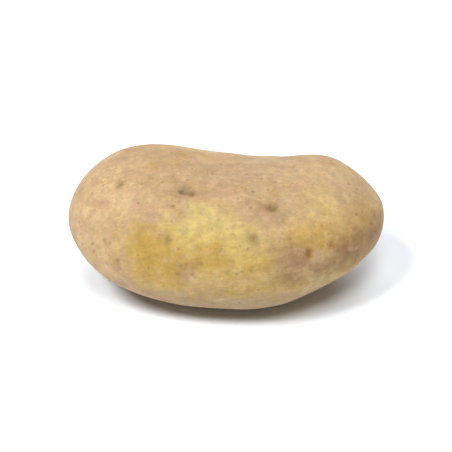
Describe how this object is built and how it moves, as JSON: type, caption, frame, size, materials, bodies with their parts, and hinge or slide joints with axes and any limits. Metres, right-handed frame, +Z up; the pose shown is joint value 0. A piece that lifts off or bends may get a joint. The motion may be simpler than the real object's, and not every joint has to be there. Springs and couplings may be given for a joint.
{
  "type": "potato",
  "caption": "Whole raw yellow ware potato, kidney-shaped with one broad and one narrower end, buff skin and shallow eyes, lying on a small flat spot.",
  "frame": {"origin": "on the ground below the middle of the tuber's bounding box", "axes": "+X along the tuber from the heel (stolon) end to the bud end, +Y to the back where the ends sweep, +Z up; the front faces -Y"},
  "size_m": [0.105, 0.061, 0.0495],
  "materials": {
    "skin": "thin dry potato skin, matt to faintly satin"
  },
  "bodies": {
    "root": {"potato": "skin"}
  },
  "joints": []
}
